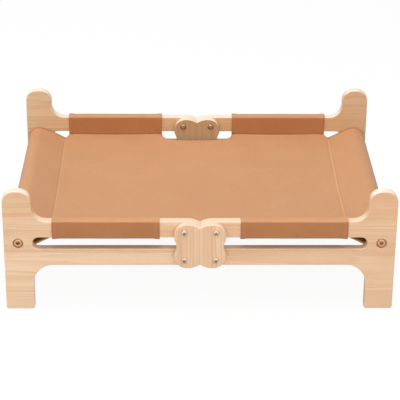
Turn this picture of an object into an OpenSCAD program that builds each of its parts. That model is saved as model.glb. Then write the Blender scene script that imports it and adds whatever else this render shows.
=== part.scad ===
// Raised hammock bed for a cat.
// Two slotted wooden side frames, each made of two halves that a lobed plate bolts
// together, stand apart on two round cross dowels. A sewn sling hangs between them:
// its rail sleeves slide over the upper rails and its end pockets over the dowels.
// X runs along the bed, Y from front to back and Z up from the floor.

/* [Side frames] */
// Length of the bed, outer edge of one leg to outer edge of the other
frame_l = 600; // [520:1:800]
// Depth of the bed, outer face of the front frame to outer face of the back frame
frame_d = 440; // [320:1:600]
// Thickness of the side boards
board_t = 15; // [13:0.5:22]
// Width of each leg
leg_w = 44; // [40:0.5:60]
// Clear height under the lower rail
under_rail_h = 76; // [50:1:120]
// Height of the lower rail
lower_rail_h = 28; // [24:0.5:40]
// Height of the slot between the rails
slot_h = 19; // [14:0.5:36]
// Height of the upper rail
upper_rail_h = 27; // [24:0.5:40]
// Height of the horn above the upper rail
horn_h = 50; // [42:0.5:70]
// Corner radius at the top of the horn
horn_r = 19.5; // [8:0.5:20]
// Hollow radius between the horn and the upper rail
crook_r = 22; // [10:0.5:23]
// Hollow radius between the leg and the lower rail
armpit_r = 31; // [12:0.5:45]
// Corner radius of the foot
foot_r = 4; // [1:0.5:10]

/* [Joining plates] */
// Thickness of the joining plate
plate_t = 12; // [8:0.5:18]
// Radius of each lobe of the plate
lobe_r = 20.5; // [17:0.5:23]
// Distance from the joint to the centre of each lobe
lobe_x = 19.5; // [17:0.5:26]
// Depth of the notch between two lobes, on the plate and on the rail ends
notch_h = 6; // [3:0.5:9]
// How far the plate is drawn in at its waist
waist_in = 4; // [2:0.5:5]
// Distance from the joint to each plate bolt
plate_bolt_x = 24; // [16:0.5:30]

/* [Cross dowels] */
// Diameter of the cross dowels
dowel_d = 32; // [26:0.5:36]

/* [Fasteners] */
// Diameter of the leg bolts
leg_bolt_d = 8; // [6:0.5:10]
// Length of the leg bolts under the head
leg_bolt_l = 55; // [35:1:90]
// Head diameter of the leg bolts
leg_bolt_head_d = 16; // [13:0.5:20]
// Head height of the leg bolts
leg_bolt_head_h = 3; // [2:0.25:5]
// Hexagon key size of the leg bolts, across flats
leg_bolt_key = 5; // [3:0.5:6]
// Outer diameter of the insert nuts in the dowel ends
dowel_nut_d = 12.5; // [11.5:0.5:16]
// Length of the insert nuts in the dowel ends
dowel_nut_l = 25; // [12:1:30]
// Diameter of the plate bolts
plate_bolt_d = 6; // [4:0.5:8]
// Head diameter of the plate bolts
plate_bolt_head_d = 10.5; // [9:0.5:13]
// Head height of the plate bolts
plate_bolt_head_h = 3.3; // [2.5:0.1:5]
// Hexagon key size of the plate bolts, across flats
plate_bolt_key = 4; // [2.5:0.5:5]
// Outer diameter of the insert nuts in the rails
rail_nut_d = 9.5; // [9:0.5:12]
// Length of the insert nuts in the rails
rail_nut_l = 11.5; // [6:0.5:12]
// Clearance round a bolt in its plain hole, on the diameter
bolt_clear = 0.5; // [0.2:0.1:1]
// Clearance between a bolt and its insert nut, on the diameter
thread_clear = 0.1; // [0.05:0.05:0.3]
// Depth of a hexagon socket
key_depth = 2; // [1:0.1:2.2]

/* [Sling] */
// Thickness of the sling cloth
cloth_t = 1; // [0.8:0.1:1.6]
// Clearance between the cloth and the wood inside it
cloth_gap = 0.2; // [0.1:0.05:0.5]
// Distance from the joint to the near end of each rail sleeve
sleeve_start = 61.5; // [52:0.5:90]
// Distance from the leg to the far end of each rail sleeve
sleeve_leg_gap = 30; // [27:0.5:60]
// How far the sewn edge of a rail sleeve hangs below the rail
sleeve_drop = 7.5; // [5:0.5:10]
// Distance from the dowel's axis to the seam of its pocket
pocket_l = 46; // [36:0.5:50]
// Sag of the bed in the middle
mid_sag = 18; // [8:0.5:40]
// Sag of the bed along each pocket seam
end_sag = 8; // [2:0.5:12]
// How far the corners of the pocket seams hang below the sewn edges of the sleeves
corner_drop = 2; // [0:0.5:5]
// How far the cloth is cut back from the side frames at the pocket seams
corner_in = 6.5; // [2:0.5:14]
// Clearance between the cut-out of the bed and a joining plate
cutout_clear = 5.5; // [1:0.5:12]

/* [Hidden] */

$fn = 96;
// Small overrun that lets one cutting shape pass through the face of another
cut = 1;

wood = "burlywood";
pale_wood = "wheat";
tan_cloth = "peru";
bronze = "sienna";
zinc = "silver";

// Heights of the rails and of the leg
lower_z0 = under_rail_h;
lower_z1 = lower_z0 + lower_rail_h;
upper_z0 = lower_z1 + slot_h;
upper_z1 = upper_z0 + upper_rail_h;
leg_top = upper_z1 + horn_h;
lower_mid = (lower_z0 + lower_z1) / 2;
upper_mid = (upper_z0 + upper_z1) / 2;
slot_mid = (lower_z1 + upper_z0) / 2;

// Places along the bed
half_l = frame_l / 2;
leg_x = half_l - leg_w;
dowel_x = half_l - leg_w / 2;
seam_x = dowel_x - pocket_l;
sleeve_end = leg_x - sleeve_leg_gap;
sleeve_l = sleeve_end - sleeve_start;

// Places across the bed, from its middle
half_d = frame_d / 2;
inner_y = half_d - board_t;
cloth_skin = cloth_gap + cloth_t;
hem_t = 2 * cloth_t;
bed_y = inner_y - cloth_skin;

// The front plate and its bolt heads stand out in front, the back sleeves behind:
// the frame is moved back so that the origin is the middle of the whole footprint
front_reach = plate_t + plate_bolt_head_h;
mid_y = (front_reach - cloth_skin) / 2;

// The notch between two lobes is an arc that starts level at the lobe's centre
notch_r = (lobe_x * lobe_x + notch_h * notch_h) / (2 * notch_h);

// The waist is an arc that runs into both lobes on its side
plate_h = upper_z1 - lower_z0;
lobe_dz = plate_h / 2 - lobe_r;
waist_r = (lobe_dz * lobe_dz - waist_in * (2 * lobe_r - waist_in)) / (2 * waist_in);
waist_x = lobe_x + lobe_r - waist_in + waist_r;
waist_share = waist_r / (waist_r + lobe_r);
waist_end_x = waist_x + (lobe_x - waist_x) * waist_share;
waist_end_dz = lobe_dz * waist_share;

// Fasteners
seat_depth = leg_bolt_head_h;
bolt_grip = board_t - seat_depth;
plate_bolt_l = plate_t + rail_nut_l;
plate_bolt_z = [lower_mid, upper_mid];

// The pocket goes round the dowel at this radius
pocket_r = dowel_d / 2 + cloth_skin;

// Steps along the curves of the cloth solids
cloth_rows = 16;
cutout_steps = 6;
sleeve_steps = 5;
corner_steps = 4;
pocket_arc_steps = 24;

// A flat outline in X and Z, stood up and given a thickness from y0 backwards
module board(y0, t) {
    translate([0, y0 + t, 0])
        rotate([90, 0, 0])
            linear_extrude(t)
                children();
}

// A solid of revolution whose axis points along Y, towards the back
module along_y(x, y, z) {
    translate([x, y, z])
        rotate([-90, 0, 0])
            children();
}

// The corner between two straight edges, filled up to a hollow arc
module hollow_corner(r, x_way, y_way) {
    difference() {
        translate([min(0, x_way * r), min(0, y_way * r)])
            square(r);
        translate([x_way * r, y_way * r])
            circle(r);
    }
}

// What the rounded end of a rail leaves open beside the joint, at height z
module rail_end_gap(z, way) {
    difference() {
        translate([-cut, way > 0 ? z - notch_h : z - cut])
            square([lobe_x + cut, notch_h + cut]);
        translate([lobe_x, z - way * notch_r])
            circle(notch_r, $fn = 256);
    }
}

module leg_outline() {
    top_r = min(horn_r, leg_w / 2);
    translate([leg_x, foot_r])
        square([leg_w, leg_top - top_r - foot_r]);
    for (end = [[foot_r, foot_r], [leg_top - top_r, top_r]]) {
        translate([leg_x + end[1], end[0]])
            circle(end[1]);
        translate([half_l - end[1], end[0]])
            circle(end[1]);
    }
    translate([leg_x + foot_r, 0])
        square([leg_w - 2 * foot_r, 2 * foot_r]);
    translate([leg_x + top_r, leg_top - 2 * top_r])
        square([leg_w - 2 * top_r, 2 * top_r]);
}

// Outline of the right half of a side frame: a leg with two rails
module side_outline() {
    difference() {
        union() {
            leg_outline();
            translate([0, lower_z0])
                square([leg_x + cut, plate_h]);
            translate([leg_x, upper_z1])
                hollow_corner(crook_r, -1, 1);
            translate([leg_x, lower_z0])
                hollow_corner(armpit_r, -1, -1);
        }
        translate([-cut, lower_z1])
            square([leg_x - slot_h / 2 + cut, slot_h]);
        translate([leg_x - slot_h / 2, slot_mid])
            circle(slot_h / 2);
        rail_end_gap(upper_z1, 1);
        rail_end_gap(lower_z0, -1);
    }
}

// Right half of a side frame, y0 being its front face. The leg bolt's head sits in a
// seat on the outer face, and the rails hold insert nuts that open to the front.
module right_half(y0, outer_is_front) {
    seat_y = outer_is_front ? y0 - cut : y0 + board_t - seat_depth;
    difference() {
        board(y0, board_t)
            side_outline();
        along_y(dowel_x, y0 - cut, slot_mid)
            cylinder(d = leg_bolt_d + bolt_clear, h = board_t + 2 * cut);
        along_y(dowel_x, seat_y, slot_mid)
            cylinder(d = leg_bolt_head_d + bolt_clear, h = seat_depth + cut);
        for (z = plate_bolt_z)
            along_y(plate_bolt_x, y0 - cut, z)
                cylinder(d = rail_nut_d, h = rail_nut_l + cut);
    }
}

module frame_half(y0, outer_is_front, left) {
    color(wood)
        translate([0, mid_y, 0])
            mirror([left ? 1 : 0, 0, 0])
                right_half(y0, outer_is_front);
}

// One quarter of the plate: a round lobe, the arc down to the notch, half the waist
module plate_quarter() {
    translate([lobe_x, lobe_dz])
        circle(lobe_r);
    intersection() {
        translate([lobe_x, plate_h / 2 - notch_r])
            circle(notch_r, $fn = 256);
        square([lobe_x, plate_h / 2]);
    }
    difference() {
        square([waist_end_x, waist_end_dz]);
        translate([waist_x, 0])
            circle(waist_r);
    }
    square([lobe_x, lobe_dz]);
}

// Lobed plate, y0 being its front face, with a plain hole for each bolt
module joining_plate(y0) {
    color(pale_wood)
        translate([0, mid_y, 0])
            difference() {
                board(y0, plate_t)
                    translate([0, slot_mid])
                        for (mx = [0, 1], mz = [0, 1])
                            mirror([mx, 0])
                                mirror([0, mz])
                                    plate_quarter();
                for (x = [-plate_bolt_x, plate_bolt_x], z = plate_bolt_z)
                    along_y(x, y0 - cut, z)
                        cylinder(d = plate_bolt_d + bolt_clear, h = plate_t + 2 * cut);
            }
}

// Round cross dowel with an insert nut and room for the bolt's tip in each end
module cross_dowel(x) {
    color(pale_wood)
        translate([0, mid_y, 0])
            difference() {
                along_y(x, -inner_y, slot_mid)
                    cylinder(d = dowel_d, h = 2 * inner_y);
                for (end = [0, 1])
                    mirror([0, end, 0])
                        along_y(x, -inner_y - cut, slot_mid) {
                            cylinder(d = dowel_nut_d, h = dowel_nut_l + cut);
                            cylinder(d = leg_bolt_d + bolt_clear, h = leg_bolt_l - bolt_grip + 2 * cut);
                        }
            }
}

// Hexagon socket, sunk from z = 0 upwards
module key_socket(across_flats) {
    translate([0, 0, -cut])
        cylinder(d = across_flats / cos(30), h = key_depth + cut, $fn = 6);
}

// Flat furniture bolt: the head's face is at z = 0 and the shank points up
module leg_bolt() {
    edge = leg_bolt_head_h / 4;
    difference() {
        rotate_extrude()
            polygon([
                [0, 0],
                [leg_bolt_head_d / 2 - edge, 0],
                [leg_bolt_head_d / 2, edge],
                [leg_bolt_head_d / 2, leg_bolt_head_h],
                [leg_bolt_d / 2, leg_bolt_head_h],
                [leg_bolt_d / 2, leg_bolt_head_h + leg_bolt_l],
                [0, leg_bolt_head_h + leg_bolt_l]
            ]);
        key_socket(leg_bolt_key);
    }
}

module leg_bolts() {
    color(bronze)
        translate([0, mid_y, 0])
            for (x = [-dowel_x, dowel_x], end = [0, 1])
                mirror([0, end, 0])
                    along_y(x, -half_d, slot_mid)
                        leg_bolt();
}

// Plain sleeve nut, its mouth at z = 0
module insert_nut(outer_d, bore_d, length) {
    difference() {
        cylinder(d = outer_d, h = length);
        translate([0, 0, -cut])
            cylinder(d = bore_d, h = length + 2 * cut);
    }
}

module dowel_insert_nuts() {
    color(zinc)
        translate([0, mid_y, 0])
            for (x = [-dowel_x, dowel_x], end = [0, 1])
                mirror([0, end, 0])
                    along_y(x, -inner_y, slot_mid)
                        insert_nut(dowel_nut_d, leg_bolt_d + thread_clear, dowel_nut_l);
}

// Domed bolt: the seat of the head is at z = 0, the dome below it, the shank above
module plate_bolt() {
    base_r = plate_bolt_head_d / 2;
    dome_r = (base_r * base_r + plate_bolt_head_h * plate_bolt_head_h) / (2 * plate_bolt_head_h);
    difference() {
        union() {
            intersection() {
                translate([0, 0, dome_r - plate_bolt_head_h])
                    sphere(dome_r);
                translate([0, 0, -plate_bolt_head_h])
                    cylinder(r = base_r, h = plate_bolt_head_h);
            }
            cylinder(d = plate_bolt_d, h = plate_bolt_l);
        }
        translate([0, 0, -plate_bolt_head_h])
            key_socket(plate_bolt_key);
    }
}

// Four bolts of one plate, y0 being the plate's front face
module plate_bolts(y0) {
    color(zinc)
        translate([0, mid_y, 0])
            for (x = [-plate_bolt_x, plate_bolt_x], z = plate_bolt_z)
                along_y(x, y0, z)
                    plate_bolt();
}

// Four insert nuts in the rails of one side frame, y0 being the rails' front face
module rail_insert_nuts(y0) {
    color(zinc)
        translate([0, mid_y, 0])
            for (x = [-plate_bolt_x, plate_bolt_x], z = plate_bolt_z)
                along_y(x, y0, z)
                    insert_nut(rail_nut_d, plate_bolt_d + thread_clear, rail_nut_l);
}

// Height of the underside of the bed: level along the sleeves, a little lower where
// the pocket seams reach the corners, and sagging in between
bed_edge_z = upper_z0 - sleeve_drop;
function past_sleeve(x) = max(0, (abs(x) - sleeve_end) / (seam_x - sleeve_end));
function side_share(y) = pow(min(abs(y) / bed_y, 1), 2);
function sag_at(x) = end_sag + (mid_sag - end_sag) * (1 - pow(x / seam_x, 2));
function bed_z(x, y) =
    bed_edge_z - sag_at(x) * (1 - side_share(y)) - corner_drop * past_sleeve(x) * side_share(y);

// The bed ends at its sleeves. It is cut out beside each plate, in a curve with full
// corners, and cut back in a quarter ellipse between each sleeve and the pocket seam.
cutout_depth = plate_t + cutout_clear;
cutout_power = 3;
tip_y = bed_y - corner_in;
function cutout_share(x) = pow(1 - pow(abs(x) / sleeve_start, cutout_power), 1 / cutout_power);
function bed_edge(x) =
    abs(x) < sleeve_start ? bed_y - cutout_depth * cutout_share(x)
                          : bed_y - corner_in * sqrt(1 - pow(1 - past_sleeve(x), 2));

// Columns of the right half of the bed, from its middle to the pocket seam
half_xs = [
    for (k = [1:cutout_steps])
        sleeve_start * pow(sin(90 * k / cutout_steps), 2 / cutout_power),
    for (k = [1:sleeve_steps])
        sleeve_start + sleeve_l * k / sleeve_steps,
    for (k = [1:corner_steps])
        seam_x - (seam_x - sleeve_end) * cos(90 * k / corner_steps)
];
bed_xs = concat([for (k = [len(half_xs) - 1:-1:0]) -half_xs[k]], [0], half_xs);

// Triangles of a closed wall between two loops of n points that follow each other
function wall(a, b, n, flip) = [
    for (k = [0:n - 1])
        let (m = (k + 1) % n)
            each flip ? [[a + k, b + m, a + m], [a + k, b + k, b + m]]
                      : [[a + k, a + m, b + m], [a + k, b + m, b + k]]
];

// Bed of the sling: one thin sheet that sags between the sleeves and the pockets
module sling_bed() {
    columns = len(bed_xs);
    rows = cloth_rows + 1;
    share = [for (j = [0:cloth_rows]) 2 * j / cloth_rows - 1];
    low = [for (x = bed_xs, s = share) let (y = s * bed_edge(x)) [x, y, bed_z(x, y)]];
    high = [for (p = low) p + [0, 0, cloth_t]];
    top = columns * rows;
    sheet = [
        for (i = [0:columns - 2], j = [0:cloth_rows - 1])
            let (a = i * rows + j, b = a + rows)
                each [[a, b, b + 1], [a, b + 1, a + 1]]
    ];
    rim = [
        for (i = [0:columns - 1]) i * rows,
        for (j = [1:cloth_rows]) (columns - 1) * rows + j,
        for (i = [columns - 2:-1:0]) i * rows + cloth_rows,
        for (j = [cloth_rows - 1:-1:1]) j
    ];
    edge = [
        for (k = [0:len(rim) - 1])
            let (a = rim[k], b = rim[(k + 1) % len(rim)])
                each [[a, a + top, b + top], [a, b + top, b]]
    ];
    color(tan_cloth)
        translate([0, mid_y, 0])
            polyhedron(
                concat(low, high),
                concat(sheet, [for (f = sheet) [f[2] + top, f[1] + top, f[0] + top]], edge)
            );
}

// Loop of points in X and Z: from a tip, over a circle round the dowel, back to the tip
function pocket_loop(r, tip_x, tip_z, half_t) =
    let (
        reach = norm([tip_x, tip_z]),
        spread = acos(r / reach),
        lean = atan2(tip_z, tip_x),
        first = lean - spread,
        turn = 360 - 2 * spread
    )
    [
        [tip_x, tip_z + half_t],
        for (k = [0:pocket_arc_steps])
            let (a = first - turn * k / pocket_arc_steps)
                [r * cos(a), r * sin(a)],
        [tip_x, tip_z - half_t]
    ];

// End pocket on the right: a tube of cloth round the dowel, drawn in to a sewn seam.
// Its sides run along the frames and are cut back towards the seam.
module right_pocket() {
    end_y = inner_y - cloth_gap;
    lap_gap = cloth_t / 10;
    count = pocket_arc_steps + 3;
    share = [for (j = [0:cloth_rows]) 2 * j / cloth_rows - 1];
    function seam_z(s) = bed_z(seam_x, s * tip_y) - slot_mid;
    function side_y(x) = tip_y + (end_y - tip_y) * min(1, (x + pocket_l) / (pocket_l - pocket_r));
    function ring(s, loop) = [for (p = loop) [dowel_x + p[0], s * side_y(p[0]), slot_mid + p[1]]];
    outer = [for (s = share) each ring(s, pocket_loop(pocket_r, -pocket_l, seam_z(s), cloth_t))];
    inner = [
        for (s = share)
            each ring(s, pocket_loop(pocket_r - cloth_t, hem_t - pocket_l, seam_z(s), lap_gap))
    ];
    start = len(outer);
    last = cloth_rows * count;
    color(tan_cloth)
        translate([0, mid_y, 0])
            polyhedron(
                concat(outer, inner),
                concat(
                    [for (j = [0:cloth_rows - 1]) each wall(j * count, (j + 1) * count, count, true)],
                    [
                        for (j = [0:cloth_rows - 1])
                            each wall(start + j * count, start + (j + 1) * count, count, false)
                    ],
                    wall(0, start, count, false),
                    wall(last, start + last, count, true)
                )
            );
}

module end_pocket(left) {
    mirror([left ? 1 : 0, 0, 0])
        right_pocket();
}

// Section of a rail sleeve at the back, in Y and Z: round the rail, with a sewn edge
// that hangs below it on the inside
module sleeve_section() {
    in_y = inner_y - cloth_skin;
    out_y = half_d + cloth_skin;
    top_z = upper_z1 + cloth_skin;
    low_z = upper_z0 - cloth_skin;
    difference() {
        polygon([
            [in_y, bed_edge_z],
            [in_y, top_z],
            [out_y, top_z],
            [out_y, low_z],
            [in_y + hem_t, bed_edge_z]
        ]);
        polygon([
            [in_y + cloth_t, bed_edge_z + hem_t],
            [in_y + cloth_t, top_z - cloth_t],
            [out_y - cloth_t, top_z - cloth_t],
            [out_y - cloth_t, low_z + cloth_t]
        ]);
    }
}

module rail_sleeve(back, left) {
    color(tan_cloth)
        translate([0, mid_y, 0])
            mirror([left ? 1 : 0, 0, 0])
                mirror([0, back ? 0 : 1, 0])
                    translate([sleeve_start, 0, 0])
                        rotate([90, 0, 90])
                            linear_extrude(sleeve_l)
                                sleeve_section();
}

frame_half(-half_d, true, true);  // front_left_frame_half
frame_half(-half_d, true, false);  // front_right_frame_half
frame_half(inner_y, false, true);  // back_left_frame_half
frame_half(inner_y, false, false);  // back_right_frame_half
joining_plate(-half_d - plate_t);  // front_joining_plate
joining_plate(inner_y - plate_t);  // back_joining_plate
cross_dowel(-dowel_x);  // left_cross_dowel
cross_dowel(dowel_x);  // right_cross_dowel
leg_bolts();
dowel_insert_nuts();
plate_bolts(-half_d - plate_t);  // front_plate_bolts
plate_bolts(inner_y - plate_t);  // back_plate_bolts
rail_insert_nuts(-half_d);  // front_rail_insert_nuts
rail_insert_nuts(inner_y);  // back_rail_insert_nuts
sling_bed();
end_pocket(true);  // left_end_pocket
end_pocket(false);  // right_end_pocket
rail_sleeve(false, true);  // front_left_rail_sleeve
rail_sleeve(false, false);  // front_right_rail_sleeve
rail_sleeve(true, true);  // back_left_rail_sleeve
rail_sleeve(true, false);  // back_right_rail_sleeve
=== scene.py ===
import math

import bmesh
import bpy
from mathutils import Matrix, Vector, noise


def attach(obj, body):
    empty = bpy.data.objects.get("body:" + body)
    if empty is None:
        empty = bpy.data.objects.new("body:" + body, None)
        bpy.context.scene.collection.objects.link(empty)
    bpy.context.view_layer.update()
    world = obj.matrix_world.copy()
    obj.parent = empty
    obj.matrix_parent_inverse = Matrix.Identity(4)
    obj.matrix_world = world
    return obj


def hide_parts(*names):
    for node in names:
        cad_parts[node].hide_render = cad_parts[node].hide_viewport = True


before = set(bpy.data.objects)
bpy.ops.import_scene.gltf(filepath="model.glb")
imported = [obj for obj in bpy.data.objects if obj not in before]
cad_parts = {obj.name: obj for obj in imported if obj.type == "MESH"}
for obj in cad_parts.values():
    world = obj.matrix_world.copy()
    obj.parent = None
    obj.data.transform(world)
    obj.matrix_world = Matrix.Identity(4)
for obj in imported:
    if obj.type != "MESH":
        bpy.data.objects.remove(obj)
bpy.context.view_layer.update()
mm = 0.001
midY = 7.05  # middle of the bed in mm, between the front and the back frame
print("frame loaded:", len(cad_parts), "nodes")


# Small helpers for names and meshes

def wayName(left):
    return "left" if left else "right"


def rowName(back):
    return "back" if back else "front"


def showPiece(name, mesh, slot, *nodes):
    piece = bpy.data.objects.new(name, mesh)
    bpy.context.scene.collection.objects.link(piece)
    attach(piece, "root")
    if nodes:
        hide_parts(*nodes)
    return piece


def meshFrom(name, points, faces):
    mesh = bpy.data.meshes.new(name)
    mesh.from_pydata([Vector(p) * mm for p in points], [], faces)  # points are in mm
    mesh.validate()
    mesh.shade_smooth()
    return mesh


def stripFaces(rows, wide, turned):
    quads = [(j * wide + k, j * wide + k + 1, (j + 1) * wide + k + 1, (j + 1) * wide + k)
             for j in range(rows) for k in range(wide - 1)]
    return [quad[::-1] for quad in quads] if turned else quads


def smoothStep(low, high, value):
    t = min(1.0, max(0.0, (value - low) / (high - low)))
    return t * t * (3 - 2 * t)


# Small helpers for shader nodes, which go into the tree that is being made

making = {"tree": None}
nodeGrid = {"columns": 16, "wide": 190, "high": 320}


def fillSockets(inputs, sockets):
    for key, value in sockets.items():
        if isinstance(value, bpy.types.NodeSocket):
            making["tree"].links.new(value, inputs[key])
        else:
            inputs[key].default_value = value


def put(kind, settings=None, sockets=None, out=0):
    nodes = making["tree"].nodes
    made = nodes.new("ShaderNode" + kind)
    row, column = divmod(len(nodes), nodeGrid["columns"])
    made.location = (column * nodeGrid["wide"], -row * nodeGrid["high"])
    for key, value in (settings or {}).items():
        setattr(made, key, value)
    fillSockets(made.inputs, sockets or {})
    return made.outputs[out]


def calc(operation, a, b=0.0, c=0.0):
    return put("Math", {"operation": operation}, {0: a, 1: b, 2: c})


def times(a, b):
    return calc("MULTIPLY", a, b)


def timesPlus(a, b, c):
    return calc("MULTIPLY_ADD", a, b, c)


def minus(a, b):
    return calc("SUBTRACT", a, b)


def clamped(value):
    return put("Clamp", None, {0: value})


def ramp(value, low, high, start=0.0, end=1.0):
    ends = {"Value": value, "From Min": low, "From Max": high, "To Min": start, "To Max": end}
    return put("MapRange", {"interpolation_type": "SMOOTHSTEP"}, ends)


def blendColour(share, a, b, how="MIX"):
    return put("Mix", {"data_type": "RGBA", "blend_type": how}, {0: share, 6: a, 7: b}, 2)


def stretch(place, x, y, z):
    return put("VectorMath", {"operation": "MULTIPLY"}, {0: place, 1: (x, y, z)})


def inMillimetres(place):
    return put("VectorMath", {"operation": "SCALE"}, {0: place, "Scale": 1000.0})


def axesOf(vector):
    return put("SeparateXYZ", None, {0: vector}).node.outputs


def facingOf():
    return axesOf(put("NewGeometry", None, None, 1))


def ownPlace():
    return put("TexCoord", None, None, 3)


def cloudy(place, scale, detail=2.0, roughness=0.5):
    return put("TexNoise", None,
               {"Vector": place, "Scale": scale, "Detail": detail, "Roughness": roughness})


def swing(place, scale, detail=2.0, roughness=0.5):
    return minus(cloudy(place, scale, detail, roughness), 0.5)  # cloudy, about zero


def newGroup(name, ins, outs):
    tree = making["tree"] = bpy.data.node_groups.new(name, "ShaderNodeTree")
    kinds = {"v": "NodeSocketVector", "f": "NodeSocketFloat", "c": "NodeSocketColor"}
    for label, kind in ins.items():
        tree.interface.new_socket(label, in_out="INPUT", socket_type=kinds[kind])
    for label, kind in outs.items():
        tree.interface.new_socket(label, in_out="OUTPUT", socket_type=kinds[kind])
    given, result = tree.nodes.new("NodeGroupInput"), tree.nodes.new("NodeGroupOutput")
    return tree, given.outputs, result.inputs


def useGroup(group, sockets):
    made = making["tree"].nodes.new("ShaderNodeGroup")
    made.node_tree = group
    fillSockets(made.inputs, sockets)
    return made.outputs


def newMaterial(name, settings):
    material = bpy.data.materials.new(name)
    material.use_nodes = True
    making["tree"] = material.node_tree
    shader = material.node_tree.nodes["Principled BSDF"].inputs
    fillSockets(shader, settings)
    return material, shader


def bump(height, strength, distance):
    return put("Bump", None, {"Height": height, "Strength": strength, "Distance": distance})


# Camera at the place from which the picture was taken

eye = {
    "place": (-0.0364, -2.33982, 1.17584),
    "pitch": 24.938,
    "yaw": 0.964,
    "roll": 0.421,
    "lens": 139.97,
    "sensor": 36.0,
}


def makeCamera():
    pitch, yaw, roll = (math.radians(eye[k]) for k in ("pitch", "yaw", "roll"))
    ahead = Vector((math.sin(yaw) * math.cos(pitch), math.cos(yaw) * math.cos(pitch), -math.sin(pitch)))
    right = Vector((math.cos(yaw), -math.sin(yaw), 0))
    up = right.cross(ahead)
    right, up = (right * math.cos(roll) + up * math.sin(roll),
                 up * math.cos(roll) - right * math.sin(roll))
    data = bpy.data.cameras.new("eye")
    data.sensor_fit, data.sensor_width, data.lens = "HORIZONTAL", eye["sensor"], eye["lens"]
    camera = bpy.data.objects.new("eye", data)
    turn = Matrix((right, up, -ahead)).transposed().to_4x4()
    camera.matrix_world = Matrix.Translation(eye["place"]) @ turn
    bpy.context.scene.collection.objects.link(camera)
    bpy.context.scene.camera = camera


makeCamera()
print("camera set")


# Wood grain, in mm: a board is glued from strips, and each strip is cut from another plank

planks = {
    "rearFrom": 7.0, "frontY": -205.45, "rowGap": 425.0,  # which boards are the back ones
    "sideCode": 3.71, "rearCode": 8.33, "stripCode": 1.37, "stripShift": 6.0,
    "pithZ": (170.0, -55.0), "pithY": (-80.0, -35.0),  # spread and start
    "drift": (0.003, 0.03, 0.03), "driftCode": 5.3, "driftStrip": 3.17,
    "wander": 14.0, "ripple": 2.2, "rippleScale": 5.5, "uneven": 2.6, "unevenScale": 0.11,
    "lateWood": (0.15, 0.9), "ringEnd": (0.92, 1.0), "years": (0.7, 0.3),
    "fibre": 0.45, "fibreScale": (0.045, 1.7, 1.7),
    "pores": (0.64, 0.74), "poreScale": (0.13, 2.6, 2.6), "poreShare": 0.2,
    "poreColour": (0.32, 0.17, 0.07, 1), "tone": 0.8, "toneScale": (0.006, 0.03, 0.06),
    "plank": 0.25, "least": 0.17, "rightTone": 0.24, "rearTone": (-0.26, 0.38),
    "secondStrip": 0.14, "topStrip": (-0.26, 0.48), "rearTopStrip": (0.93, -1.15),
    "glue": (0.1, 0.45), "glueShare": 0.14, "glueColour": (0.36, 0.2, 0.09, 1),
    "rough": 0.55, "lateRough": -0.08, "poreRough": 0.15,
    "lateHigh": 0.25, "fibreHigh": 0.5, "poreHigh": -0.7, "glueHigh": -0.5,
}


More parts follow.
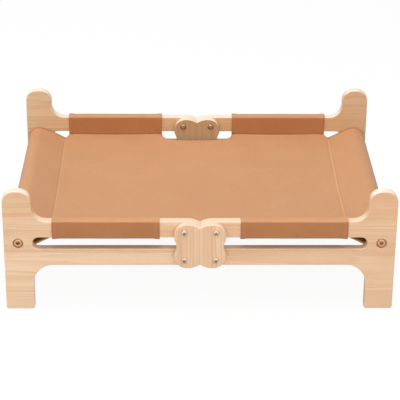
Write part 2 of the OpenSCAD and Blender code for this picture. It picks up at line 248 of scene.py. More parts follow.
def makeWoodGrain():
    p = planks
    tree, given, result = newGroup(
        "woodGrain",
        {"Place": "v", "Seed": "f", "Strip Height": "f", "Strip Start": "f", "Ring Width": "f",
         "Contrast": "f", "Early Wood": "c", "Late Wood": "c", "Painted Rear Shade": "c"},
        {"Color": "c", "Roughness": "f", "Height": "f"})
    place = inMillimetres(given["Place"])
    axes = axesOf(place)
    x, y, z = axes[0], axes[1], axes[2]  # grain runs along x, strips are stacked along z
    side = calc("GREATER_THAN", x, 0.0)
    rear = calc("GREATER_THAN", y, p["rearFrom"])
    code = timesPlus(side, p["sideCode"], timesPlus(rear, p["rearCode"], given["Seed"]))
    depth = minus(y, timesPlus(rear, p["rowGap"], p["frontY"]))

    # the strips, and the pith of the plank that each comes from
    shifted = minus(z, given["Strip Start"])
    shifted = timesPlus(side, p["stripShift"], shifted)
    shifted = timesPlus(rear, p["stripShift"], shifted)
    count = calc("DIVIDE", shifted, given["Strip Height"])
    strip = calc("FLOOR", count)
    across = times(calc("FRACT", count), given["Strip Height"])
    dice = put("TexWhiteNoise", {"noise_dimensions": "1D"},
               {"W": timesPlus(strip, p["stripCode"], code)}, 1)
    dice = put("SeparateColor", None, {0: dice}).node.outputs
    pithZ = timesPlus(dice[0], *p["pithZ"])
    pithY = timesPlus(dice[1], *p["pithY"])

    # growth rings round a wandering pith, so every face of a board agrees
    drift = put("CombineXYZ", None, {
        0: timesPlus(x, p["drift"][0], times(code, p["driftCode"])),
        1: times(depth, p["drift"][1]),
        2: timesPlus(across, p["drift"][2], times(strip, p["driftStrip"]))})
    wander = swing(drift, 1.0, 1.0)
    ripple = swing(drift, p["rippleScale"])
    toY = minus(depth, pithY)
    toZ = minus(across, pithZ)
    reach = calc("SQRT", timesPlus(toY, toY, times(toZ, toZ)))
    reach = timesPlus(wander, p["wander"], reach)
    reach = timesPlus(ripple, p["ripple"], reach)
    uneven = put("TexNoise", {"noise_dimensions": "1D"},
                 {"W": times(reach, p["unevenScale"]), "Scale": 1.0, "Detail": 1.0})
    ring = timesPlus(uneven, p["uneven"], calc("DIVIDE", reach, given["Ring Width"]))
    turn = calc("FRACT", ring)
    late = times(ramp(turn, *p["lateWood"]), ramp(turn, *p["ringEnd"], 1.0, 0.0))
    year = put("TexWhiteNoise", {"noise_dimensions": "1D"}, {"W": calc("FLOOR", ring)})
    late = times(late, timesPlus(year, *p["years"]))

    # long fibres, short pores and slow changes of tone
    fibre = swing(stretch(place, *p["fibreScale"]), 1.0, detail=3.0, roughness=0.6)
    pores = ramp(cloudy(stretch(place, *p["poreScale"]), 1.0, 1.0), *p["pores"])
    tone = swing(stretch(place, *p["toneScale"]), 1.0)
    share = times(late, given["Contrast"])
    share = timesPlus(fibre, p["fibre"], share)
    share = timesPlus(tone, p["tone"], share)
    share = timesPlus(minus(dice[2], 0.5), p["plank"], share)

    # planks of another tone higher up; a set change of tone at the right and at the back
    share = timesPlus(calc("GREATER_THAN", strip, 0.5), p["secondStrip"], share)
    top = timesPlus(side, *p["topStrip"])
    top = timesPlus(rear, timesPlus(side, *p["rearTopStrip"]), top)
    share = timesPlus(calc("GREATER_THAN", strip, 1.5), top, share)
    share = timesPlus(rear, timesPlus(side, *p["rearTone"]), share)
    share = timesPlus(side, p["rightTone"], share)
    share = clamped(calc("ADD", share, p["least"]))
    colour = blendColour(share, given["Early Wood"], given["Late Wood"])
    # painted shade: the back boards are darkened by the rear multiply
    colour = blendColour(rear, colour, given["Painted Rear Shade"], "MULTIPLY")
    colour = blendColour(times(pores, p["poreShare"]), colour, p["poreColour"])
    edge = calc("MINIMUM", across, minus(given["Strip Height"], across))
    glue = ramp(edge, *p["glue"], 1.0, 0.0)
    colour = blendColour(times(glue, p["glueShare"]), colour, p["glueColour"])

    rough = timesPlus(pores, p["poreRough"], timesPlus(late, p["lateRough"], p["rough"]))
    height = timesPlus(late, p["lateHigh"], times(fibre, p["fibreHigh"]))
    height = timesPlus(glue, p["glueHigh"], timesPlus(pores, p["poreHigh"], height))
    fillSockets(result, {"Color": colour, "Roughness": rough, "Height": height})
    return tree


# Other shader groups that several materials share

wear = {"turn": (0.02, 0.22), "patches": (0.3, 0.7), "patchScale": (60.0, 110.0, 110.0), "least": 0.4}


def makeEdgeWear():
    tree, given, result = newGroup(
        "edgeWear", {"Color": "c", "Worn Color": "c", "Amount": "f", "Place": "v"}, {"Color": "c"})
    sideways = facingOf()[1]
    square = times(sideways, sideways)
    turned = times(square, minus(1.0, square))  # most in the middle of a rounded edge
    turned = ramp(turned, *wear["turn"])
    patchy = cloudy(stretch(given["Place"], *wear["patchScale"]), 1.0, 3.0)
    patchy = ramp(patchy, *wear["patches"])
    share = times(turned, timesPlus(patchy, 1 - wear["least"], wear["least"]))
    share = times(share, given["Amount"])
    fillSockets(result, {"Color": blendColour(share, given["Color"], given["Worn Color"])})
    return tree


# painted top light: faces that point up take a paler colour, standing in for the overhead light
paintedLight = {"upward": (0.2, 0.9), "cloud": 0.5, "cloudScale": (14.0, 14.0, 14.0)}


def makePaintedTopLight():
    tree, given, result = newGroup(
        "paintedTopLight", {"Color": "c", "Painted Light Color": "c", "Amount": "f", "Place": "v"}, {"Color": "c"})
    upward = facingOf()[2]  # painted top light: what faces up is made paler
    cloud = swing(stretch(given["Place"], *paintedLight["cloudScale"]), 1.0)
    share = times(ramp(upward, *paintedLight["upward"]), timesPlus(cloud, paintedLight["cloud"], 1.0))
    share = clamped(times(share, given["Amount"]))
    fillSockets(result, {"Color": blendColour(share, given["Color"], given["Painted Light Color"])})
    return tree


pebbles = {
    "wobble": 0.9, "wobbleScale": 0.55, "fineLine": 0.16,
    "broadLine": 0.06, "broadScale": 0.31, "broadShare": 0.8,
    "skin": 0.5, "skinScale": 2.2, "deep": -0.7,
    "slowScale": 0.013, "quickScale": 0.16, "quickShare": 0.35,
}


def makeLeatherGrain():
    p = pebbles
    tree, given, result = newGroup(
        "leatherGrain", {"Place": "v", "Pebble": "f"}, {"Height": "f", "Crease": "f", "Tone": "f"})
    place = inMillimetres(given["Place"])
    wobble = put("TexNoise", None, {"Vector": place, "Scale": p["wobbleScale"], "Detail": 2.0}, 1)
    wobble = put("VectorMath", {"operation": "MULTIPLY_ADD"},
                 {0: wobble, 1: (p["wobble"],) * 3, 2: place})
    small = calc("DIVIDE", 1.0, given["Pebble"])
    crease = {"feature": "DISTANCE_TO_EDGE"}
    fine = put("TexVoronoi", crease, {"Vector": wobble, "Scale": small})
    broad = put("TexVoronoi", crease, {"Vector": wobble, "Scale": times(small, p["broadScale"])})
    broad = times(ramp(broad, 0.0, p["broadLine"], 1.0, 0.0), p["broadShare"])
    lines = calc("MAXIMUM", ramp(fine, 0.0, p["fineLine"], 1.0, 0.0), broad)
    skin = times(swing(place, p["skinScale"], 3.0), p["skin"])
    tone = timesPlus(swing(place, p["quickScale"]), p["quickShare"], swing(place, p["slowScale"]))
    fillSockets(result, {"Height": timesPlus(lines, p["deep"], skin), "Crease": lines, "Tone": tone})
    return tree


metalSkin = {
    "stain": (0.38, 0.68), "stainScale": 0.45, "stainRough": 0.12, "stainHigh": -0.3,
    "scratchScale": (0.5, 6.0, 7.0), "scratchRough": 0.18,
}


def makePlating():
    p = metalSkin
    tree, given, result = newGroup(
        "plating", {"Place": "v", "Bright": "c", "Dull": "c", "Rough": "f"},
        {"Color": "c", "Roughness": "f", "Height": "f"})
    place = inMillimetres(given["Place"])
    stain = ramp(cloudy(place, p["stainScale"], detail=4.0, roughness=0.6), *p["stain"])
    scratch = cloudy(stretch(place, *p["scratchScale"]), 1.0)
    colour = blendColour(stain, given["Bright"], given["Dull"])
    rough = timesPlus(stain, p["stainRough"], timesPlus(scratch, p["scratchRough"], given["Rough"]))
    height = timesPlus(stain, p["stainHigh"], scratch)
    fillSockets(result, {"Color": colour, "Roughness": rough, "Height": height})
    return tree


woodGrain = makeWoodGrain()
edgeWear = makeEdgeWear()
paintedTopLight = makePaintedTopLight()
leatherGrain = makeLeatherGrain()
plating = makePlating()


# Materials

# rear darkens the back boards and the back plate: painted shade
frameWood = {
    "order": "XYZ", "seed": 1.3, "stripHeight": 60.0, "stripStart": 38.0,
    "ringWidth": 3.6, "contrast": 0.66,
    "early": (0.875, 0.63, 0.415, 1), "late": (0.725, 0.43, 0.24, 1), "rear": (0.87, 0.88, 0.82, 1),
    "worn": (0.92, 0.72, 0.51, 1), "wear": 0.2, "faded": (0.83, 0.66, 0.47, 1), "paintedLight": 0.68,
    "paintedHighlight": (0.88, 0.79, 0.65, 1), "slotShade": 0.22,
}
plateWood = {
    "order": "ZYX", "seed": 6.1, "stripHeight": 43.0, "stripStart": 21.0,
    "ringWidth": 4.0, "contrast": 0.72,
    "early": (0.865, 0.615, 0.405, 1), "late": (0.70, 0.41, 0.23, 1), "rear": (0.63, 0.61, 0.52, 1),
    "worn": (0.92, 0.73, 0.52, 1), "wear": 0.25, "faded": (0.84, 0.67, 0.48, 1), "paintedLight": 0.68,
    "paintedHighlight": (0.93, 0.75, 0.53, 1), "slotShade": 0.0,
}
dowelWood = {
    "order": "YXZ", "seed": 9.4, "stripHeight": 200.0, "stripStart": -60.0,
    "ringWidth": 2.6, "contrast": 0.5,
    "early": (0.84, 0.61, 0.37, 1), "late": (0.66, 0.42, 0.22, 1), "rear": (1, 1, 1, 1),
    "worn": (0.88, 0.68, 0.44, 1), "wear": 0.2, "faded": (0.84, 0.61, 0.37, 1), "paintedLight": 0.2,
    "paintedHighlight": (0.84, 0.61, 0.37, 1), "slotShade": 0.0,
}
# painted highlight: the tops of the horns and of all back boards take a near-white colour
highlightedTops = {"hornZ": (0.178, 0.192), "rearFrom": 0.007, "paintedLight": 0.92}  # in metres
# painted shade on the lower lip of the slots
slotPaintedShade = {
    "lipZ": 0.1031, "near": (0.0007, 0.0024), "inside": (0.236, 0.252), "colour": (0.30, 0.19, 0.11, 1),
}


def wornEdges(colour, look, place):
    return useGroup(edgeWear, {
        "Color": colour, "Worn Color": look["worn"], "Amount": look["wear"], "Place": place})["Color"]


def makeWood(name, look):
    material, shader = newMaterial(
        name, {"Specular IOR Level": 0.3, "Coat Weight": 0.5, "Coat Roughness": 0.42})
    place = ownPlace()
    axes = axesOf(place)
    if look["order"] != "XYZ":  # turn the grain along another axis
        place = put("CombineXYZ", None, {k: axes["XYZ".index(c)] for k, c in enumerate(look["order"])})
    grain = useGroup(woodGrain, {
        "Place": place, "Seed": look["seed"], "Strip Height": look["stripHeight"],
        "Strip Start": look["stripStart"], "Ring Width": look["ringWidth"], "Contrast": look["contrast"],
        "Early Wood": look["early"], "Late Wood": look["late"], "Painted Rear Shade": look["rear"]})

    # painted highlight: the up-facing tops of the horns and of the back boards are made near white, paler
    # than the front rails
    highlighted = calc("MAXIMUM", ramp(axes[2], *highlightedTops["hornZ"]),
                calc("GREATER_THAN", axes[1], highlightedTops["rearFrom"]))
    faded = useGroup(paintedTopLight, {
        "Color": grain["Color"], "Painted Light Color": blendColour(highlighted, look["faded"], look["paintedHighlight"]),
        "Amount": timesPlus(highlighted, highlightedTops["paintedLight"] - look["paintedLight"], look["paintedLight"]), "Place": place})
    worn = wornEdges(faded["Color"], look, place)

    # painted shade: a darker lower lip in the slots, where the upper rail and the sling keep the light off
    fromLip = calc("ABSOLUTE", minus(axes[2], slotPaintedShade["lipZ"]))
    shadedLip = times(ramp(fromLip, *slotPaintedShade["near"], 1.0, 0.0),
                    ramp(calc("ABSOLUTE", axes[0]), *slotPaintedShade["inside"], 1.0, 0.0))
    colour = blendColour(times(shadedLip, look["slotShade"]), worn, slotPaintedShade["colour"])
    fillSockets(shader, {"Base Color": colour, "Roughness": grain["Roughness"],
                         "Normal": bump(grain["Height"], strength=0.35, distance=0.0002)})
    return material


tanLeather = {
    "pebble": 1.3, "light": (0.495, 0.214, 0.087, 1), "dark": (0.42, 0.172, 0.064, 1),
    "crease": (0.33, 0.115, 0.04, 1), "faded": (0.665, 0.355, 0.182, 1), "paintedLight": 0.8,
    "worn": (0.66, 0.32, 0.15, 1), "wear": 0.15,
}
# painted highlight: the welt is a paler copy of the tan leather, standing in for the light on its raised
# ridge
paintedHighlightWelt = {
    "pebble": 1.0, "light": (0.60, 0.29, 0.13, 1), "dark": (0.51, 0.225, 0.09, 1),
    "crease": (0.39, 0.16, 0.06, 1), "faded": (0.72, 0.405, 0.22, 1), "paintedLight": 0.8,
    "worn": (0.72, 0.405, 0.22, 1), "wear": 0.2,
}
leatherTone = {
    "spread": 1.3, "middle": 0.5, "crease": 0.3, "rough": 0.47, "creaseRough": 0.12, "toneRough": 0.15,
}


def makeLeather(name, look):
    material, shader = newMaterial(name, {"Specular IOR Level": 0.2})
    t = leatherTone
    place = ownPlace()
    grain = useGroup(leatherGrain, {"Place": place, "Pebble": look["pebble"]})
    share = clamped(timesPlus(grain["Tone"], t["spread"], t["middle"]))
    colour = blendColour(share, look["light"], look["dark"])
    # painted top light on the leather: up-facing cloth is made paler
    colour = useGroup(paintedTopLight, {
        "Color": colour, "Painted Light Color": look["faded"], "Amount": look["paintedLight"], "Place": place})["Color"]
    colour = blendColour(times(grain["Crease"], t["crease"]), colour, look["crease"])
    rough = timesPlus(grain["Crease"], t["creaseRough"], t["rough"])
    rough = timesPlus(grain["Tone"], t["toneRough"], rough)
    fillSockets(shader, {"Base Color": wornEdges(colour, look, place), "Roughness": rough,
                         "Normal": bump(grain["Height"], strength=0.3, distance=0.00016)})
    return material


tanThread = {
    "light": (0.66, 0.36, 0.175, 1), "dark": (0.46, 0.215, 0.09, 1),
    "twist": 0.7, "kink": 1.2, "twistShare": 0.55, "fuzz": 2600.0, "fuzzShare": 0.45,
}


def makeThread(name, look):
    material, shader = newMaterial(name, {"Roughness": 0.62, "Sheen Weight": 0.3})
    place = ownPlace()
    twist = put("TexWave", {"bands_direction": "DIAGONAL"},
                {"Vector": inMillimetres(place), "Scale": look["twist"], "Distortion": look["kink"]})
    fuzz = times(cloudy(place, look["fuzz"]), look["fuzzShare"])
    share = timesPlus(twist, look["twistShare"], fuzz)
    fillSockets(shader, {"Base Color": blendColour(share, look["dark"], look["light"]),
                         "Normal": bump(twist, strength=0.5, distance=0.0001)})
    return material


metals = {
    "bronzePlate": {"bright": (0.66, 0.38, 0.22, 1), "dull": (0.47, 0.24, 0.13, 1), "rough": 0.3},
    "nickelPlate": {"bright": (0.62, 0.49, 0.37, 1), "dull": (0.50, 0.39, 0.29, 1), "rough": 0.46},
    "zincPlate": {"bright": (0.72, 0.73, 0.75, 1), "dull": (0.55, 0.55, 0.55, 1), "rough": 0.2},
    "shadedNickel": {"bright": (0.36, 0.25, 0.155, 1), "dull": (0.22, 0.15, 0.09, 1), "rough": 0.06},
    "bronzeGrooveShade": {"bright": (0.54, 0.29, 0.14, 1), "dull": (0.40, 0.19, 0.085, 1), "rough": 0.45},
    "bronzeSocketShade": {"bright": (0.17, 0.06, 0.02, 1), "dull": (0.09, 0.03, 0.012, 1), "rough": 0.45},
    "nickelSocketShade": {"bright": (0.17, 0.11, 0.07, 1), "dull": (0.10, 0.065, 0.04, 1), "rough": 0.45},
}


def makeMetal(name):
    look = metals[name]
    material, shader = newMaterial(name, {"Metallic": 1.0})
    skin = useGroup(plating, {
        "Place": ownPlace(), "Bright": look["bright"], "Dull": look["dull"], "Rough": look["rough"]})
    fillSockets(shader, {"Base Color": skin["Color"], "Roughness": skin["Roughness"],
                         "Normal": bump(skin["Height"], strength=0.12, distance=0.0001)})
    return material


finish = {
    "frame_wood": makeWood("frameWood", frameWood),
    "plate_wood": makeWood("plateWood", plateWood),
    "dowel_wood": makeWood("dowelWood", dowelWood),
    "bronze_bolt": makeMetal("bronzePlate"),
    "nickel_bolt": makeMetal("nickelPlate"),
    "zinc_insert": makeMetal("zincPlate"),
    "sling_cloth": makeLeather("tanLeather", tanLeather),
}
threadFinish = makeThread("tanThread", tanThread)
weltFinish = makeLeather("paintedHighlightWelt", paintedHighlightWelt)
recessShadeFinish = {  # painted shade: darker copies of the plating in the grooves and sockets of the bolts
    "bronze_bolt": (makeMetal("bronzeGrooveShade"), makeMetal("bronzeSocketShade")),
    "nickel_bolt": (makeMetal("nickelSocketShade"),),
}
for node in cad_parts.values():
    node.data.materials[0] = finish[node.data.materials[0].name.split(".")[0]]
print("materials made:", len(bpy.data.materials))


# Boards and plates: the outlines of the solids, with rounded edges

legHole = (278.0, 113.5)  # x and z, on both sides
plateHoles = ((24.0, 90.0), (24.0, 136.5))
boardEdges = {
    "round": 1.7, "joint": 0.8, "jointX": 0.2, "steps": 5,
    "holes": ((*legHole, 8.7), *((*hole, 5.1) for hole in plateHoles)),  # x, z, radius round the rim
}
corners = {"straight": 0.999, "sharp": 0.82}  # cosine of the turn between two edges
plateEdges = {
    "round": 1.5, "joint": 1.5, "jointX": 0.2, "steps": 5,
    "holes": tuple((*hole, 3.7) for hole in plateHoles),
}


def readBoard(node, holes):
    cad = bmesh.new()
    cad.from_mesh(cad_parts[node].data)
    bmesh.ops.remove_doubles(cad, verts=cad.verts, dist=1e-6)
    for v in cad.verts:
        v.co /= mm
    inHole = dict.fromkeys(  # dictionaries keep their order, so each run gives the same mesh
        v for v in cad.verts if any(math.hypot(abs(v.co.x) - x, v.co.z - z) < r for x, z, r in holes))
    ends = (min(v.co.y for v in cad.verts), max(v.co.y for v in cad.verts))
    flats = [dict.fromkeys(f for f in cad.faces if all(abs(v.co.y - y) < 1e-3 for v in f.verts))
             for y in ends]
    rims, outline = [], []
    for flat in flats:
        nextTo = {}
        for f in flat:
            for edge in f.edges:
                if sum(g in flat for g in edge.link_faces) == 1:
                    a, b = edge.verts
                    nextTo.setdefault(a, []).append(b)
                    nextTo.setdefault(b, []).append(a)
        loops = []
        while nextTo:
            loop = [next(iter(nextTo))]
            while True:
                ways = [v for v in nextTo.pop(loop[-1], []) if v in nextTo]
                if not ways:
                    break
                loop.append(ways[0])
            loops.append(loop)
        rims.append([[v.index for v in loop] for loop in loops if loop[0] in inHole])
        if not outline:
            outline = [Vector((v.co.x, v.co.z)) for loop in loops if loop[0] not in inHole for v in loop]
    bores = [[v.index for v in f.verts] for f in cad.faces
             if all(v in inHole for v in f.verts) and f not in flats[0] and f not in flats[1]]
    where = {v.index: v.co.copy() for v in inHole}
    cad.free()
    return outline, ends, rims, bores, where


def cross2(a, b):
    return a.x * b.y - a.y * b.x


def roundedBoard(node, look):
    outline, ends, rims, bores, where = readBoard(node, look["holes"])
    count = len(outline)
    if sum(cross2(outline[k - 1], outline[k]) for k in range(count)) < 0:
        outline.reverse()
    outs, widths = [], []  # outward way and rounding of the edge that starts at each point
    for k in range(count):
        a, b = outline[k], outline[(k + 1) % count]
        outs.append(Vector(((b - a).y, -(b - a).x)).normalized())
        atJoint = max(abs(a.x), abs(b.x)) < look["jointX"]
        widths.append(look["joint"] if atJoint else look["round"])
    insets, smooth = [], []
    for k in range(count):
        n1, n2, d1, d2 = outs[k - 1], outs[k], widths[k - 1], widths[k]
        c = n1.dot(n2)
        if c > corners["straight"]:
            insets.append((n1 + n2).normalized() * (d1 + d2) / 2)
        else:
            insets.append((n1 * (d1 - c * d2) + n2 * (d2 - c * d1)) / (1 - c * c))
        smooth.append((n1 + n2).normalized() if c > corners["sharp"] else None)  # None at a sharp corner

    points, faces, normals = [], [], []
    depths = [max(widths[k - 1], widths[k]) for k in range(count)]

    def facing(k, edge, angle, way):
        flat = smooth[k] if smooth[k] is not None else outs[edge]
        return Vector((flat.x * math.cos(angle), way * math.sin(angle), flat.y * math.cos(angle)))

    rings = []  # first index of each ring and its angle, from the front face to the back one
    for way, y in ((-1, ends[0]), (1, ends[1])):
        for step in range(look["steps"] + 1):
            angle = math.pi / 2 * (look["steps"] - step if way < 0 else step) / look["steps"]
            rings.append((len(points), angle, way))
            for k in range(count):
                at = outline[k] - insets[k] * (1 - math.cos(angle))
                points.append(Vector((at.x, y - way * depths[k] * (1 - math.sin(angle)), at.y)))
    for (a, angleA, wayA), (b, angleB, wayB) in zip(rings, rings[1:]):
        for k in range(count):
            m = (k + 1) % count
            faces.append((a + k, b + k, b + m, a + m))
            normals += [facing(k, k, angleA, wayA), facing(k, k, angleB, wayB),
                        facing(m, k, angleB, wayB), facing(m, k, angleA, wayA)]

    index = {}
    for k, at in where.items():
        index[k] = len(points)
        points.append(at)
    for side, way in ((0, -1), (1, 1)):  # the flat faces, with their holes
        fill = bmesh.new()
        first = rings[0 if side == 0 else -1][0]
        known = {}
        for loop in [list(range(first, first + count))] + [[index[k] for k in rim] for rim in rims[side]]:
            verts = [fill.verts.new(points[k]) for k in loop]
            known.update(zip(verts, loop))
            for a, b in zip(verts, verts[1:] + verts[:1]):
                fill.edges.new((a, b))
        bmesh.ops.triangle_fill(fill, edges=fill.edges[:], use_beauty=True, normal=(0, way, 0))
        for f in fill.faces:
            loop = [known[v] for v in f.verts]
            faces.append(loop if f.normal.y * way > 0 else loop[::-1])
            normals += [Vector((0, way, 0))] * 3
        fill.free()
    for loop in bores:
        loop = [index[k] for k in loop]
        a, b, c = (points[k] for k in loop[:3])
        faces.append(loop)
        normals += [(b - a).cross(c - a).normalized()] * len(loop)

    mesh = bpy.data.meshes.new(node)
    mesh.from_pydata([p * mm for p in points], [], faces)
    mesh.shade_smooth()
    mesh.normals_split_custom_set(normals)
    return mesh


def makeBoards(nodes, slot, look):
    for node in nodes:
        mesh = roundedBoard(node, look)
        mesh.materials.append(finish[slot])
        showPiece(node + "_piece", mesh, slot, node)


halves = [f"{rowName(back)}_{wayName(left)}_frame_half" for back in (False, True) for left in (True, False)]
makeBoards(halves, "frame_wood", boardEdges)
makeBoards(["front_joining_plate", "back_joining_plate"], "plate_wood", plateEdges)
print("boards and plates made")


# Bolts: turned heads with a hexagon socket, and threaded shanks
# head gives radius and place along the bolt, from under the head to the rim of the socket

legBolt = {
    "head": ((4.0, 3.0), (8.0, 3.0), (8.0, 2.0), (7.8, 1.8), (6.9, 1.75), (6.6, 1.6), (6.45, 1.1),
             (6.35, 0.7), (6.1, 0.38), (5.6, 0.14), (4.9, 0.03), (4.1, 0.0), (3.4, 0.0), (3.1, 0.05)),
    "groove": (2, 6), "socketShade": 2, "floorShade": 1, "key": 5.0, "keyDepth": 4.8,
    "shank": 4.0, "long": 58.0, "thread": 0.45, "pitch": 1.6, "threadFrom": 16.0,
    "faceY": 220.0,
}
plateBolt = {
    "head": ((3.0, 0.0), (5.05, 0.0), (5.25, -0.22), (5.22, -0.7), (5.0, -1.25), (4.6, -1.75),
             (4.05, -2.15), (3.4, -2.42), (2.8, -2.56), (2.5, -2.58)),
    "groove": (0, 0), "socketShade": 1, "floorShade": 0, "key": 4.0, "keyDepth": 3.6,
    "shank": 3.0, "long": 23.5, "thread": 0.35, "pitch": 1.25, "threadFrom": 11.0,
    "frontY": -224.95, "backY": 200.05,
}
turning = {
    "sides": 48, "sharp": 38, "spin": 0.4, "spinStep": 1.1, "tip": 0.72, "tipRoom": 1.5,
    "keyRim": (0.22, 0.1), "keyEase": 0.36, "keyFloor": (0.86, 0.12), "keyPit": (0.3, 0.4),
}


def boltRings(look):
    turned = [(r, along, 0.0) for r, along in look["head"]]
    face = look["head"][-1][1]
    floor = face + look["keyDepth"]
    half = look["key"] / 2
    (rim, rimDeep), (low, lowDeep), (pit, pitDeep) = (turning[k] for k in ("keyRim", "keyFloor", "keyPit"))
    inside = [(half + rim, face + rimDeep, 1.0), (half, face + turning["keyEase"], 1.0), (half, floor, 1.0),
              (half * low, floor + lowDeep, 1.0), (half * pit, floor + pitDeep, 0.5)]
    return turned + inside  # radius, place along the bolt, share of a hexagon


def addBolt(points, faces, shades, look, place, way, spin):
    sides = turning["sides"]

    def ringPoint(r, along, six, k):
        a = 2 * math.pi * k / sides
        if six:
            bend = (a % (math.pi / 3)) - math.pi / 6
            r = r * (1 - six) + six * r / math.cos(bend)
        a += spin
        return Vector((place[0] + r * math.cos(a), place[1] + way * along, place[2] + r * math.sin(a)))

    shank = look["shank"]
    thread = []
    along = look["threadFrom"]
    while along < look["long"] - look["pitch"] * turning["tipRoom"]:
        thread += [(shank, along, 0.0), (shank - look["thread"], along + look["pitch"] / 2, 0.0)]
        along += look["pitch"]
    tip = [(shank, along, 0.0), (shank * turning["tip"], look["long"], 0.0)]
    stem = list(reversed(thread + tip))
    rings = stem + boltRings(look)
    socketWall = len(rings) - 4  # the ring gap that runs down the flats of the key
    groove = range(len(stem) + look["groove"][0], len(stem) + look["groove"][1])
    start = len(points)
    for r, along, six in rings:
        points.extend(ringPoint(r, along, six, k) for k in range(sides))
    for i in range(len(rings) - 1):
        for k in range(sides):
            a, b = start + i * sides + k, start + i * sides + (k + 1) % sides
            faces.append((a, b, b + sides, a + sides)[::way])
            # painted shade: the groove, the socket walls and the socket floor take the darker copies of the
            # plating
            shade = look["socketShade"] if i == socketWall else look["floorShade"]
            shades.append(shade if i >= socketWall else int(i in groove))
    last = start + (len(rings) - 1) * sides
    for first, turn, shade in ((start, -way, 0), (last, way, look["floorShade"])):
        faces.append(tuple(range(first, first + sides))[::turn])
        shades.append(shade)


def makeBolts(node, slot, look, places, headFinish):
    points, faces, shades = [], [], []
    for k, (place, way) in enumerate(places):
        addBolt(points, faces, shades, look, place, way, turning["spin"] + turning["spinStep"] * k)
    mesh = meshFrom(node, points, faces)
    mesh.set_sharp_from_angle(angle=math.radians(turning["sharp"]))
    mesh.materials.append(headFinish)
    for material in recessShadeFinish[slot]:
        mesh.materials.append(material)
    mesh.polygons.foreach_set("material_index", shades)
    showPiece(node + "_piece", mesh, slot, node)


legPlaces = [((side * legHole[0], midY + way * legBolt["faceY"], legHole[1]), -way)
             for way in (-1, 1) for side in (-1, 1)]
makeBolts("leg_bolts", "bronze_bolt", legBolt, legPlaces, finish["bronze_bolt"])
# painted shade: the back plate bolts take a darker copy of the nickel plating
headFinishes = {"front": finish["nickel_bolt"], "back": makeMetal("shadedNickel")}
for row, headFinish in headFinishes.items():
    platePlaces = [((side * x, plateBolt[row + "Y"], z), 1) for x, z in plateHoles for side in (-1, 1)]
    makeBolts(row + "_plate_bolts", "nickel_bolt", plateBolt, platePlaces, headFinish)
print("bolts made")


# Sling: sizes in mm, the same as in the solids, with v as y from the middle of the bed

sling = {
    "thick": 1.0, "bedY": 203.8, "edgeZ": 115.5, "seamX": 232.0, "sleeveStart": 61.5, "sleeveEnd": 226.0,
    "midSag": 18.0, "endSag": 8.0, "cornerDrop": 2.0, "cornerIn": 6.5,
    "cutoutDepth": 17.5, "cutoutPower": 3.0,
    "dowelX": 278.0, "dowelZ": 113.5, "pocketR": 17.2, "pocketEnd": 204.8,
    "hem": 6.5, "hemThick": 1.9, "sewnRise": 1.2, "riseFrom": 14.0, "riseReach": 60.0,
}
tipY = sling["bedY"] - sling["cornerIn"]  # where a seam ends


def pastSleeve(x):
    s = sling
    return max(0.0, (abs(x) - s["sleeveEnd"]) / (s["seamX"] - s["sleeveEnd"]))


def bedZ(x, v):
    s = sling
    share = min(abs(v) / s["bedY"], 1.0) ** 2
    sag = s["endSag"] + (s["midSag"] - s["endSag"]) * (1 - (x / s["seamX"]) ** 2)
    return s["edgeZ"] - sag * (1 - share) - s["cornerDrop"] * pastSleeve(x) * share


def bedEdge(x):
    s = sling
    if abs(x) < s["sleeveStart"]:
        share = 1 - (abs(x) / s["sleeveStart"]) ** s["cutoutPower"]
        return s["bedY"] - s["cutoutDepth"] * share ** (1 / s["cutoutPower"])
    return s["bedY"] - s["cornerIn"] * math.sqrt(max(0.0, 1 - (1 - pastSleeve(x)) ** 2))


def sewnRise(x):
    s = sling
    along = (abs(x) - s["sleeveStart"]) / (s["sleeveEnd"] - s["sleeveStart"])
    return s["sewnRise"] * (2 * min(1.0, max(0.0, along)) - 1) ** 2


def edgeRise(x, inwards):
    s = sling
    share = smoothStep(s["sleeveStart"] - s["riseFrom"], s["sleeveStart"], abs(x))
    share *= max(0.0, 1 - pastSleeve(x))
    return sewnRise(x) * share * max(0.0, 1 - inwards / s["riseReach"]) ** 2


def hemShare(cloth, inwards):
    before, after = cloth["hemBlend"]
    return 1 - smoothStep(sling["hem"] - before, sling["hem"] + after, inwards)


def hemExtra(cloth, inwards):  # how far a hem stands up over the plain cloth
    return cloth["hemShare"] * (sling["hemThick"] - sling["thick"]) * hemShare(cloth, inwards)


def clothPiece(node, points, faces, hems, offset):
    name = node + "_piece"
    mesh = meshFrom(name, points, faces)
    mesh.materials.append(finish["sling_cloth"])
    piece = showPiece(name, mesh, "sling_cloth", node)
    group = piece.vertex_groups.new(name="thickness")
    thin = sling["thick"] / sling["hemThick"]
    for k, hem in enumerate(hems):
        group.add([k], thin + hem * (1 - thin), "REPLACE")
    shell = piece.modifiers.new("thickness", "SOLIDIFY")
    shell.thickness, shell.offset, shell.use_even_offset = sling["hemThick"] * mm, offset, True
    shell.vertex_group = "thickness"
    return piece


bedCloth = {
    "cutoutSteps": 16, "sleeveSteps": 18, "cornerSteps": 9,
    "rows": (0, 0.8, 1.8, 3, 4.2, 5.4, 6.6, 8, 10, 13, 17, 22, 28, 36, 46, 58, 72, 88, 106, 126, 148, 172,
             203.8),  # from the edge to the middle
    "hemShare": 0.5, "hemBlend": (1.2, 0.6), "sleeveBlend": (1, 6),
    "fillet": 4.5, "lift": 1.6, "tuck": 0.7,
    "wave": 0.55, "waveX": 75, "waveY": 120, "waveSeed": 4.2, "waveEdge": 4,
    "pull": 0.8, "pullLines": 9, "pullStart": 4, "pullFull": 22, "pullReach": 70, "pullEdge": 12,
}


